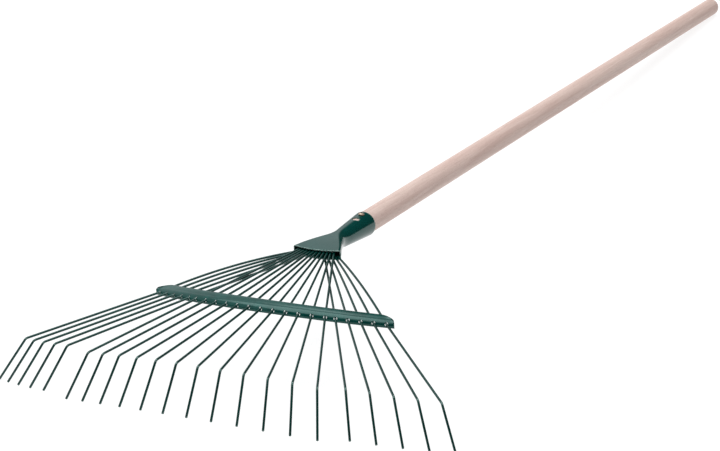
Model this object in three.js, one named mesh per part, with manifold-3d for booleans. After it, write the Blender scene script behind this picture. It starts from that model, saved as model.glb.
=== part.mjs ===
// Leaf rake: a wooden handle in a pressed steel head, twenty-two spring-wire tines in two rows,
// and a pressed cross brace that keeps the tines spread. Millimetres, +Z up.
//
// The parts are drawn in the fan's own frame: the origin is the middle of the head's mouth,
// X runs across the rake, +Y points to the handle and Z stands up from the fan. The whole rake is
// then tipped about X so that it lies on the outermost tine tips and on the end of the handle.
import * as THREE from 'three';
import { mergeVertices } from 'three/addons/utils/BufferGeometryUtils.js';
import Module from 'manifold-3d';

const wasm = await Module();
wasm.setup();

const GAP = 0.3;                     // air left between pieces that touch
const deg = THREE.MathUtils.degToRad;

// Head: a tapered tube that is pressed flat and wide at the mouth.
const SHEET = 1.2;
const HEAD_LENGTH = 116;
const MOUTH_HALF_WIDTH = 27;
const MOUTH_HALF_HEIGHT = 5.4;
const MOUTH_BULGE = 5;               // how far the middle of the mouth's edge stands forward
const MOUTH_BULGE_DEPTH = 11;        // the sections are straight again this far back
const MOUTH_CORNER = 2.6;
const FLARE_SLOPE = 0.41;            // half width lost for each millimetre back from the mouth
const FLARE_BLEND = 5;               // softens the line where the flare runs into the tube
const JAW_FLAT = 6;                  // length of the flat jaw behind the mouth
const TUBE_START = 60;               // where the section has become round
const TUBE_TAPER = 0.066;
const CORNER_GROWTH = 0.7;           // below 1, the corners grow round ahead of the height
const FLARE_HOLD = 6;                // the higher, the longer the flare keeps its width
const SEAM = 0.7;                    // the open butt seam under the rolled tube

// Handle: a turned wooden rod, tapered where it sits in the head.
const HANDLE_RADIUS = 12.5;
const HANDLE_VISIBLE = 1300;
const HANDLE_FALL = deg(5.9);        // the handle falls away behind the plane of the fan
const HANDLE_DROP = 1;               // its axis passes this far under the middle of the mouth
const HANDLE_TAPER_END = 63;         // distance from the mouth to the tapered tip
const HANDLE_DOME = 7;
const HANDLE_END_FLAT = 5.5;         // radius of the small flat on the domed end
const RIM_RADIUS = HANDLE_RADIUS + GAP + SHEET;

// Screw and the spare screw hole, on top of the tube near its rim.
const SCREW_BACK = 9.5;              // distance from the rim
const SCREW_TURN = deg(6);           // turned about the tube from the top
const SCREW_HEAD_RADIUS = 3.3;
const SCREW_HEAD_HEIGHT = 2.1;
const SCREW_SHANK_RADIUS = 1.75;
const SCREW_RIM = 0.7;               // upright edge of the pan head
const SCREW_POINT = 3;
const SCREW_LENGTH = 12;
const CROSS_LENGTH = 3.6;            // the driver's cross
const CROSS_WIDTH = 0.9;
const CROSS_DEPTH = 1.1;
const SPARE_BACK = 23;
const SPARE_TURN = deg(4);
const SPARE_RADIUS = 4.4;

// Tines: round spring wire.
const WIRE = 2.5;
const ROOT_DEPTH = 16;               // how far a root reaches into the jaw
const ROOT_BEND = 6.2;               // depth at which a root turns into its own direction
const ROOT_BEND_RADIUS = 8;
const ELBOW_RADIUS = 5;
const TIP_LENGTH = 50;
const TIP_ANGLE = deg(51);           // below the plane of the fan
const UPPER = {
  count: 6, rootHeight: 2.4, rootStart: 1.75, rootPitch: 3.5, firstAngle: deg(2), anglePitch: deg(4),
  apex: 44, reach: 330, reachStep: 0, elbowHeight: -1, elbowCrown: 470, bow: 0,
};
const LOWER = {
  count: 5, rootHeight: -2.2, rootStart: 8, rootPitch: 3.85, firstAngle: deg(28.7), anglePitch: deg(4),
  apex: 18, reach: 313, reachStep: 2.8, elbowHeight: 1.5, elbowCrown: 640, bow: 1.35,
};

// Spacer plate that keeps the two rows of roots apart inside the jaw.
const SPACER_THICKNESS = 1.4;
const SPACER_FRONT = 4;
const SPACER_BACK = 20;
const SPACER_HALF_WIDTH = 16;

// Cross brace: an upturned channel with round ends, curved in plan and crowned.
const BRACE_SHEET = 1;
const BRACE_FRONT = -146;            // Y of the front flange at the middle of the rake
const BRACE_PLAN_RADIUS = 250;
const BRACE_CROWN_RADIUS = 560;
const BRACE_HEIGHT = -2.1;           // Z of the wires in the front flange at the middle
const BRACE_WIDTH = 17;
const BRACE_ABOVE = 4.2;             // top of the channel above the wires
const BRACE_BELOW = 3.4;             // lip of the channel below the wires
const BRACE_LEAN = 0.06;             // rise of the channel towards the handle
const BRACE_SHOULDER = 4;            // round along the upper edges
const BRACE_OVERHANG = 7.5;          // along the arc, past the outermost wire
const BRACE_END_ROUND = 12;
const BRACE_END_DEPTH = 3;           // the channel's width at its very ends
const BRACE_HOLE_RADIUS = 2.2;

const enamel = new THREE.MeshStandardMaterial({ color: 0x0d3b2c, roughness: 0.3, metalness: 0.1 });
const wood = new THREE.MeshStandardMaterial({ color: 0xcfae98, roughness: 0.7, metalness: 0 });
const steel = new THREE.MeshStandardMaterial({ color: 0x9a9a94, roughness: 0.35, metalness: 1 });

// ---------------------------------------------------------------- solids

function toSolid(geometry) {
  const bare = geometry.index ? geometry.clone() : geometry;
  bare.deleteAttribute('normal');
  bare.deleteAttribute('uv');
  const merged = mergeVertices(bare, 1e-4);
  return new wasm.Manifold(new wasm.Mesh({
    numProp: 3,
    vertProperties: new Float32Array(merged.attributes.position.array),
    triVerts: new Uint32Array(merged.index.array),
  }));
}

function toGeometry(solid) {
  const mesh = solid.getMesh();
  const geometry = new THREE.BufferGeometry();
  geometry.setAttribute('position', new THREE.BufferAttribute(new Float32Array(mesh.vertProperties), 3));
  geometry.setIndex(new THREE.BufferAttribute(new Uint32Array(mesh.triVerts), 1));
  geometry.computeVertexNormals();
  return geometry;
}

// Skin over rings of equal length. A closed loft joins its last ring to its first and has no ends.
function loft(rings, closed) {
  const size = rings[0].length;
  const positions = rings.flat().flatMap((point) => [point.x, point.y, point.z]);
  const faces = [];
  const spans = closed ? rings.length : rings.length - 1;
  for (let ring = 0; ring < spans; ring += 1) {
    const here = ring * size;
    const next = ((ring + 1) % rings.length) * size;
    for (let i = 0; i < size; i += 1) {
      const j = (i + 1) % size;
      faces.push(here + i, here + j, next + j, here + i, next + j, next + i);
    }
  }
  if (!closed) {
    const last = (rings.length - 1) * size;
    for (let i = 1; i < size - 1; i += 1) {
      faces.push(0, i + 1, i, last, last + i, last + i + 1);
    }
  }
  const geometry = new THREE.BufferGeometry();
  geometry.setAttribute('position', new THREE.Float32BufferAttribute(positions, 3));
  geometry.setIndex(faces);
  return geometry;
}

function part(name, geometry, material) {
  const mesh = new THREE.Mesh(geometry, material);
  mesh.name = name;
  return mesh;
}

// A drill that stands on the tube's axis, turned about it and placed back from the rim.
function drill(radius, bottom, back, turn, sides) {
  const length = 2 * RIM_RADIUS - bottom;
  const bit = new THREE.CylinderGeometry(radius, radius, length, sides);
  bit.rotateX(Math.PI / 2);
  bit.translate(0, 0, bottom + length / 2);
  bit.rotateY(turn);
  bit.translate(0, HEAD_LENGTH - back, 0);
  return toSolid(bit);
}

// ---------------------------------------------------------------- head

const ACROSS = new THREE.Vector3(1, 0, 0);
const CORNER_STEPS = 7;

function tubeRadius(y) {
  return RIM_RADIUS - TUBE_TAPER * (HEAD_LENGTH - y);
}

// A rounded rectangle in the plane of the fan, which turns into a circle on the handle's axis.
function headRing(y, inset) {
  const round = THREE.MathUtils.smoothstep(y, JAW_FLAT, TUBE_START);
  const tube = tubeRadius(y);
  const flare = MOUTH_HALF_WIDTH - FLARE_SLOPE * y - tube;
  const spread = (flare + Math.hypot(flare, FLARE_BLEND)) / 2 * (1 - round ** FLARE_HOLD);
  const halfWidth = tube + spread - inset;
  const halfHeight = THREE.MathUtils.lerp(MOUTH_HALF_HEIGHT, tube, round) - inset;
  const growing = THREE.MathUtils.lerp(MOUTH_CORNER, tube, round ** CORNER_GROWTH) - inset;
  const corner = Math.min(growing, halfHeight, halfWidth);
  const bulge = MOUTH_BULGE * (1 - THREE.MathUtils.smoothstep(y, 0, MOUTH_BULGE_DEPTH));
  const ring = [];
  for (const [sideX, sideZ, start] of [[1, 1, 0], [-1, 1, 90], [-1, -1, 180], [1, -1, 270]]) {
    for (let i = 0; i <= CORNER_STEPS; i += 1) {
      const angle = deg(start + 90 * i / CORNER_STEPS);
      const x = sideX * (halfWidth - corner) + corner * Math.cos(angle);
      const z = sideZ * (halfHeight - corner) + corner * Math.sin(angle);
      const point = new THREE.Vector3(x, y - bulge * (1 - (x / MOUTH_HALF_WIDTH) ** 2), z);
      point.applyAxisAngle(ACROSS, -HANDLE_FALL * round);
      point.z -= HANDLE_DROP * round;
      ring.push(point);
    }
  }
  return ring;
}

function headGeometry() {
  const stations = [0, 5.5, 11, 17, 23, 29, 35, 41, 47, 53.5, TUBE_START, HEAD_LENGTH];
  const outer = stations.map((y) => headRing(y, 0)).reverse();
  const inner = stations.map((y) => headRing(y, SHEET));
  const shell = toSolid(loft([...outer, ...inner], true));
  const seam = new THREE.BoxGeometry(SEAM, HEAD_LENGTH * 1.2, RIM_RADIUS);
  seam.translate(0, HEAD_LENGTH / 2, -RIM_RADIUS);
  const cuts = drill(SCREW_SHANK_RADIUS + GAP, 0, SCREW_BACK, SCREW_TURN, 16)
    .add(drill(SPARE_RADIUS, 0, SPARE_BACK, SPARE_TURN, 24))
    .add(toSolid(seam))
    .rotate([-THREE.MathUtils.radToDeg(HANDLE_FALL), 0, 0])
    .translate([0, 0, -HANDLE_DROP]);
  return toGeometry(shell.subtract(cuts));
}

// ---------------------------------------------------------------- handle and screw

function handleGeometry() {
  const inside = (y) => tubeRadius(y) - SHEET - GAP;
  const end = HEAD_LENGTH + HANDLE_VISIBLE;
  const profile = [
    new THREE.Vector2(0, HANDLE_TAPER_END),
    new THREE.Vector2(inside(HANDLE_TAPER_END) - 1, HANDLE_TAPER_END),
    new THREE.Vector2(inside(HANDLE_TAPER_END + 1), HANDLE_TAPER_END + 1),
    new THREE.Vector2(HANDLE_RADIUS, HEAD_LENGTH),
  ];
  const dome = new THREE.EllipseCurve(
    HANDLE_END_FLAT, end - HANDLE_DOME, HANDLE_RADIUS - HANDLE_END_FLAT, HANDLE_DOME, 0, Math.PI / 2);
  profile.push(...dome.getPoints(6), new THREE.Vector2(0, end));
  const rod = new THREE.LatheGeometry(profile, 32);
  const pilot = drill(SCREW_SHANK_RADIUS + GAP, SCREW_TIP - GAP, SCREW_BACK, SCREW_TURN, 16);
  return toGeometry(toSolid(rod).subtract(pilot));
}

// Heights of the screw's head and point above the tube's axis.
const SCREW_SEAT = tubeRadius(HEAD_LENGTH - SCREW_BACK) + GAP;
const SCREW_TIP = SCREW_SEAT - SCREW_LENGTH;

function screwGeometry() {
  const dome = new THREE.EllipseCurve(
    0, SCREW_SEAT + SCREW_RIM, SCREW_HEAD_RADIUS, SCREW_HEAD_HEIGHT - SCREW_RIM, 0, Math.PI / 2);
  const body = new THREE.LatheGeometry([
    new THREE.Vector2(0, SCREW_TIP),
    new THREE.Vector2(SCREW_SHANK_RADIUS, SCREW_TIP + SCREW_POINT),
    new THREE.Vector2(SCREW_SHANK_RADIUS, SCREW_SEAT),
    new THREE.Vector2(SCREW_HEAD_RADIUS, SCREW_SEAT),
    ...dome.getPoints(5),
  ], 24);
  const bars = [0, 1].map((quarter) => {
    const bar = new THREE.BoxGeometry(CROSS_WIDTH, 2 * CROSS_DEPTH, CROSS_LENGTH);
    bar.rotateY(quarter * Math.PI / 2);
    bar.translate(0, SCREW_SEAT + SCREW_HEAD_HEIGHT, 0);
    return toSolid(bar);
  });
  const screw = toGeometry(toSolid(body).subtract(bars[0].add(bars[1])));
  screw.rotateX(Math.PI / 2);
  screw.rotateY(SCREW_TURN);
  screw.translate(0, HEAD_LENGTH - SCREW_BACK, 0);
  return screw;
}

// ---------------------------------------------------------------- cross brace

function braceCrown(x) {
  return BRACE_HEIGHT - (BRACE_CROWN_RADIUS - Math.sqrt(BRACE_CROWN_RADIUS ** 2 - x * x));
}

// A point of the brace: angle along the front flange's arc, distance back from it, and height.
function bracePoint(angle, back, up) {
  const radius = BRACE_PLAN_RADIUS - back;
  const front = BRACE_PLAN_RADIUS * Math.sin(angle);
  return new THREE.Vector3(
    radius * Math.sin(angle),
    BRACE_FRONT + BRACE_PLAN_RADIUS - radius * Math.cos(angle),
    braceCrown(front) + up + BRACE_LEAN * back,
  );
}

// One cross-section of the brace, as a filled outline that is inset for the hollow inside.
function braceRing(angle, endAngle, inset) {
  const fromEnd = (endAngle - Math.abs(angle)) * BRACE_PLAN_RADIUS;
  const along = THREE.MathUtils.clamp(1 - fromEnd / BRACE_END_ROUND, 0, 1);
  const width = THREE.MathUtils.lerp(BRACE_END_DEPTH, BRACE_WIDTH, Math.sqrt(1 - along * along));
  const front = inset;
  const back = width - inset;
  const top = BRACE_ABOVE - inset;
  const bottom = -BRACE_BELOW - 2 * inset;
  const shoulder = Math.min(BRACE_SHOULDER - inset / 2, 0.45 * (back - front));
  const ring = [bracePoint(angle, front, bottom)];
  const turns = [0, 30, 60, 90].map(deg);
  for (const turn of turns) {
    const up = top - shoulder * (1 - Math.sin(turn));
    ring.push(bracePoint(angle, front + shoulder * (1 - Math.cos(turn)), up));
  }
  for (const turn of turns.reverse()) {
    const up = top - shoulder * (1 - Math.sin(turn));
    ring.push(bracePoint(angle, back - shoulder * (1 - Math.cos(turn)), up));
  }
  ring.push(bracePoint(angle, back, bottom));
  return ring;
}

function braceFilling(endAngle, inset) {
  const reach = endAngle - inset / BRACE_PLAN_RADIUS;
  const round = BRACE_END_ROUND / BRACE_PLAN_RADIUS;

  // Even sections along the arc, then closer ones round the end.
  const half = [0, 1, 2, 3, 4, 5].map((i) => (reach - round) * i / 6);
  half.push(...[0, 0.4, 0.7, 0.87, 0.96, 1].map((f) => reach - round + f * round));
  const angles = [...half.slice(1).map((angle) => -angle).reverse(), ...half].reverse();
  return toSolid(loft(angles.map((angle) => braceRing(angle, reach, inset)), false));
}

function braceGeometry(tines) {
  const outermost = tines[0].brace;
  const endAngle = Math.asin(Math.abs(outermost.x) / BRACE_PLAN_RADIUS)
    + BRACE_OVERHANG / BRACE_PLAN_RADIUS;
  let channel = braceFilling(endAngle, 0).subtract(braceFilling(endAngle, BRACE_SHEET));
  for (const tine of tines) {
    const along = tine.span.at(-1).clone().sub(tine.brace).normalize();
    const bit = new THREE.CylinderGeometry(BRACE_HOLE_RADIUS, BRACE_HOLE_RADIUS, 2.4 * BRACE_WIDTH, 8);
    bit.applyQuaternion(new THREE.Quaternion().setFromUnitVectors(new THREE.Vector3(0, 1, 0), along));
    const middle = tine.brace.clone().addScaledVector(along, BRACE_WIDTH / 2);
    bit.translate(middle.x, middle.y, middle.z);
    channel = channel.subtract(toSolid(bit));
  }
  return toGeometry(channel);
}

// ---------------------------------------------------------------- tines

// A wire's centre line as chosen stations, so that the mesh is fine only where the wire bends.
class StationPath extends THREE.Curve {
  constructor(stations) {
    super();
    this.stations = stations;
  }

  getPointAt(u) {
    return this.stations[Math.round(u * (this.stations.length - 1))].clone();
  }

  getTangentAt(u) {
    const i = Math.round(u * (this.stations.length - 1));
    const before = this.stations[Math.max(i - 1, 0)];
    const after = this.stations[Math.min(i + 1, this.stations.length - 1)];
    return after.clone().sub(before).normalize();
  }
}

function roundCorner(from, corner, to, radius, steps) {
  const a = from.clone().sub(corner).normalize();
  const b = to.clone().sub(corner).normalize();
  const half = a.angleTo(b) / 2;
  const centre = corner.clone().add(a.clone().add(b).normalize().multiplyScalar(radius / Math.sin(half)));
  const start = corner.clone().addScaledVector(a, radius / Math.tan(half)).sub(centre);
  const end = corner.clone().addScaledVector(b, radius / Math.tan(half)).sub(centre);
  const axis = start.clone().cross(end).normalize();
  const sweep = start.angleTo(end);
  const points = [];
  for (let i = 0; i <= steps; i += 1) {
    points.push(start.clone().applyAxisAngle(axis, sweep * i / steps).add(centre));
  }
  return points;
}

// The named points of one tine on the +X side: root, mouth, brace, elbow and tip.
function tinePoints(row, index) {
  const angle = row.firstAngle + index * row.anglePitch;
  const heading = new THREE.Vector3(Math.sin(angle), -Math.cos(angle), 0);
  const reach = row.reach + index * row.reachStep;
  const elbow = new THREE.Vector3(0, row.apex, 0).addScaledVector(heading, reach);
  elbow.z = row.elbowHeight - elbow.x ** 2 / (2 * row.elbowCrown);

  // The wire's straight line meets the arc of the brace's front flange.
  const fromCentre = row.apex - (BRACE_FRONT + BRACE_PLAN_RADIUS);
  const half = heading.y * fromCentre;
  const distance = -half + Math.sqrt(half ** 2 - fromCentre ** 2 + BRACE_PLAN_RADIUS ** 2);
  const brace = new THREE.Vector3(0, row.apex, 0).addScaledVector(heading, distance);
  brace.z = braceCrown(brace.x);

  // It crosses the mouth's plane in even steps and turns straight back inside the jaw.
  const mouth = new THREE.Vector2(row.rootStart + index * row.rootPitch, 0);
  const turn = new THREE.Vector3(
    mouth.x - ROOT_BEND * (brace.x - mouth.x) / (mouth.y - brace.y), ROOT_BEND, row.rootHeight);
  const root = turn.clone().setY(ROOT_DEPTH);
  const tip = elbow.clone().addScaledVector(heading, TIP_LENGTH * Math.cos(TIP_ANGLE));
  tip.z -= TIP_LENGTH * Math.sin(TIP_ANGLE);

  // The outer wires arch a little between the head and the brace.
  const span = [0.25, 0.5, 0.75].map((f) => {
    const point = turn.clone().lerp(brace, f);
    point.z += row.bow * index * 4 * f * (1 - f);
    return point;
  });
  return { root, turn, span, brace, elbow, tip };
}

function tineStations({ root, turn, span, brace, elbow, tip }) {
  return [
    root,
    ...roundCorner(root, turn, span[0], ROOT_BEND_RADIUS, 3),
    ...span,
    brace,
    brace.clone().lerp(elbow, 0.5),
    ...roundCorner(brace, elbow, tip, ELBOW_RADIUS, 4),
    tip,
  ];
}

function allTines() {
  const side = [];
  for (const row of [UPPER, LOWER]) {
    for (let index = 0; index < row.count; index += 1) {
      side.push(tinePoints(row, index));
    }
  }
  const flip = (point) => point.clone().setX(-point.x);
  const mirror = (points) => Object.fromEntries(Object.entries(points).map(([key, value]) => [
    key, Array.isArray(value) ? value.map(flip) : flip(value)]));
  return [...side.map(mirror).reverse(), ...side];
}

function tineGeometry(points) {
  const stations = tineStations(points);
  const section = new THREE.Shape();
  section.absarc(0, 0, WIRE / 2, 0, 2 * Math.PI);
  return new THREE.ExtrudeGeometry(section, {
    curveSegments: 4, steps: stations.length - 1, extrudePath: new StationPath(stations),
  });
}

// ---------------------------------------------------------------- spacer plate

function spacerGeometry() {
  const plate = new THREE.BoxGeometry(
    2 * SPACER_HALF_WIDTH, SPACER_BACK - SPACER_FRONT, SPACER_THICKNESS);
  plate.translate(0, (SPACER_BACK + SPACER_FRONT) / 2, (UPPER.rootHeight + LOWER.rootHeight) / 2);
  return plate;
}

// ---------------------------------------------------------------- the rake

const tines = allTines();
const fan = new THREE.Group();
tines.forEach((points, i) => {
  fan.add(part(`tine_${String(i + 1).padStart(2, '0')}`, tineGeometry(points), enamel));
});
fan.add(part('cross_brace', braceGeometry(tines), enamel));
fan.add(part('socket_head', headGeometry(), enamel));
fan.add(part('tine_spacer', spacerGeometry(), enamel));

const shaft = new THREE.Group();
shaft.rotation.x = -HANDLE_FALL;
shaft.position.z = -HANDLE_DROP;
shaft.add(part('handle', handleGeometry(), wood));
shaft.add(part('handle_screw', screwGeometry(), steel));

// Tip the rake until the outermost tips and the underside of the handle's end are level.
const tip = tines[0].tip;
const handleEnd = HEAD_LENGTH + HANDLE_VISIBLE - HANDLE_DOME;
const endY = handleEnd * Math.cos(HANDLE_FALL);
const endZ = -handleEnd * Math.sin(HANDLE_FALL) - HANDLE_DROP;
const spread = Math.hypot(endY - tip.y, endZ - tip.z);
const tipDrop = WIRE / 2 * Math.cos(TIP_ANGLE);
const restTilt = Math.atan2(tip.z - endZ, endY - tip.y) + Math.asin((HANDLE_RADIUS - tipDrop) / spread);

const rake = new THREE.Group();
rake.add(fan, shaft);
rake.rotation.x = restTilt;
const box = new THREE.Box3().setFromObject(rake, true);
rake.position.set(0, -(box.min.y + box.max.y) / 2, -box.min.z);

export default new THREE.Group().add(rake);
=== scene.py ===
import math

import bpy
from mathutils import Matrix, Vector, noise


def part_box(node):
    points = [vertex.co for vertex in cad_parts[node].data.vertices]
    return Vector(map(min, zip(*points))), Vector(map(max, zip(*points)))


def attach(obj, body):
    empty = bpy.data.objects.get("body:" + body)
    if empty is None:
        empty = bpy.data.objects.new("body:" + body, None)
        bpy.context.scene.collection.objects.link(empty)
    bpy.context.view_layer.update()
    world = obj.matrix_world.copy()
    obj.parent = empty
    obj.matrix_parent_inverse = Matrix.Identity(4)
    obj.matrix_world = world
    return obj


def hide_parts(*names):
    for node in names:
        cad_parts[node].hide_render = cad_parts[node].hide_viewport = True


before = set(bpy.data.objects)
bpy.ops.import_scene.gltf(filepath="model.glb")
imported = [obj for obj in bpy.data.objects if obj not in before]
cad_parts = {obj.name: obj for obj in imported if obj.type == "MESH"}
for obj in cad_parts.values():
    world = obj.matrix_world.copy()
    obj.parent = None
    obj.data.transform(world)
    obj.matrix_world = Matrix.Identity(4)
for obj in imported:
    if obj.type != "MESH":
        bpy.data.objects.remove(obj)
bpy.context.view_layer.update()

# ---- How the rake lies
# The rake lies on its outermost tine tips and on the end of its handle, which tips the fan a little.
# Each piece is drawn flat in the plane of the fan, in millimetres, with +Y towards the handle and the
# origin in the middle of the head's mouth. This matrix then lays it down, in metres.
fan_tilt = math.radians(2.784179)
plate_low, plate_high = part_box("tine_spacer")
fan_place = Matrix.Rotation(fan_tilt, 4, "X") @ Matrix.Scale(0.001, 4)
fan_place.translation = (plate_low + plate_high) / 2 - fan_place.to_3x3() @ Vector((0, 12, 0.1))


# ---- Spring-wire tines
# Twenty-two lengths of 2.5 mm spring wire in two rows, dipped in dark green enamel. Each is bent down
# at an elbow near its end and clamped by its root in the jaw. The twelve upper ones fan out straight;
# the five lower ones on each side start beside the middle, cross under them and arch a little.
WIRE = 2.5
ROOT_DEPTH = 16
ROOT_BEND = 6.2
TIP_LENGTH = 50
TIP_ANGLE = math.radians(51)
BRACE_FRONT = -146
BRACE_ARC = 250
BRACE_CROWN = 560
BRACE_HEIGHT = -2.1
upper_row = dict(
    count=6, root_height=2.4, root_start=1.75, root_pitch=3.5, first_angle=2, angle_pitch=4,
    apex=44, reach=330, reach_step=0, elbow_height=-1, elbow_crown=470, arch=0)
lower_row = dict(
    count=5, root_height=-2.2, root_start=8, root_pitch=3.85, first_angle=28.7, angle_pitch=4,
    apex=18, reach=313, reach_step=2.8, elbow_height=1.5, elbow_crown=640, arch=1.35)


def brace_crown(x):
    """Height of the wires where they go through the brace."""
    return BRACE_HEIGHT - (BRACE_CROWN - math.sqrt(BRACE_CROWN**2 - x * x))


def tine_line(row, index, side):
    """Where one wire has its root, its bend in the jaw, its hole in the brace, its elbow and its tip."""
    angle = math.radians(row["first_angle"] + index * row["angle_pitch"])
    heading = Vector((math.sin(angle), -math.cos(angle), 0))
    apex = Vector((0, row["apex"], 0))
    elbow = apex + heading * (row["reach"] + index * row["reach_step"])
    elbow.z = row["elbow_height"] - elbow.x**2 / (2 * row["elbow_crown"])
    from_centre = row["apex"] - (BRACE_FRONT + BRACE_ARC)
    half = heading.y * from_centre
    hole = apex + heading * (-half + math.sqrt(half**2 - from_centre**2 + BRACE_ARC**2))
    hole.z = brace_crown(hole.x)
    mouth_x = row["root_start"] + index * row["root_pitch"]
    bend = Vector((mouth_x + ROOT_BEND * (hole.x - mouth_x) / hole.y, ROOT_BEND, row["root_height"]))
    root = Vector((bend.x, ROOT_DEPTH, bend.z))
    tip = elbow + heading * TIP_LENGTH * math.cos(TIP_ANGLE)
    tip.z -= TIP_LENGTH * math.sin(TIP_ANGLE)
    points = dict(Root=root, Bend=bend, Hole=hole, Elbow=elbow, Tip=tip)
    for point in points.values():
        point.x *= side
    return points, index * row["arch"]


def node(tree, kind, settings=None, sockets=None):
    """A node with its settings, and its sockets set to values or joined to other nodes' outputs."""
    made = tree.nodes.new(kind)
    for name, value in (settings or {}).items():
        setattr(made, name, value)
    for name, value in (sockets or {}).items():
        for source in value if isinstance(value, list) else [value]:
            if isinstance(source, bpy.types.NodeSocket):
                tree.links.new(source, made.inputs[name])
            else:
                made.inputs[name].default_value = source
    return made


def math_node(tree, operation, a, b=0.0):
    return node(tree, "ShaderNodeMath", {"operation": operation}, {0: a, 1: b}).outputs[0]


def vector_node(tree, operation, a, b=(0, 0, 0)):
    return node(tree, "ShaderNodeVectorMath", {"operation": operation}, {0: a, 1: b})


def new_tree(name, inputs, outputs, kind="GeometryNodeTree"):
    """An empty node tree with named inputs and outputs."""
    tree = bpy.data.node_groups.new(name, kind)
    for label, socket, value in inputs:
        made = tree.interface.new_socket(label, in_out="INPUT", socket_type=socket)
        if value is not None:
            made.default_value = value
    for label, socket in outputs:
        tree.interface.new_socket(label, in_out="OUTPUT", socket_type=socket)
    return tree, tree.nodes.new("NodeGroupInput").outputs, tree.nodes.new("NodeGroupOutput").inputs


def grow(tree, name, mesh, **values):
    """The plain mesh object that the tree makes, with its inputs set by their sockets' identifiers."""
    seed = bpy.data.objects.new(name + "_seed", mesh)
    bpy.context.scene.collection.objects.link(seed)
    modifier = seed.modifiers.new(tree.name, "NODES")
    modifier.node_group = tree
    for item in tree.interface.items_tree:
        if item.in_out == "INPUT" and item.name in values:
            modifier[item.identifier] = values[item.name]
    bpy.context.view_layer.update()
    ready = seed.evaluated_get(bpy.context.evaluated_depsgraph_get())
    made = bpy.data.objects.new(name, bpy.data.meshes.new_from_object(ready))
    bpy.data.objects.remove(seed)
    bpy.context.scene.collection.objects.link(made)
    made.data.name = name
    return made


def smooth(piece, angle=35):
    """Smooth shading, broken at the edges that turn more than the angle."""
    piece.data.shade_smooth()
    piece.data.set_sharp_from_angle(angle=math.radians(angle))
    return piece


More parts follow.
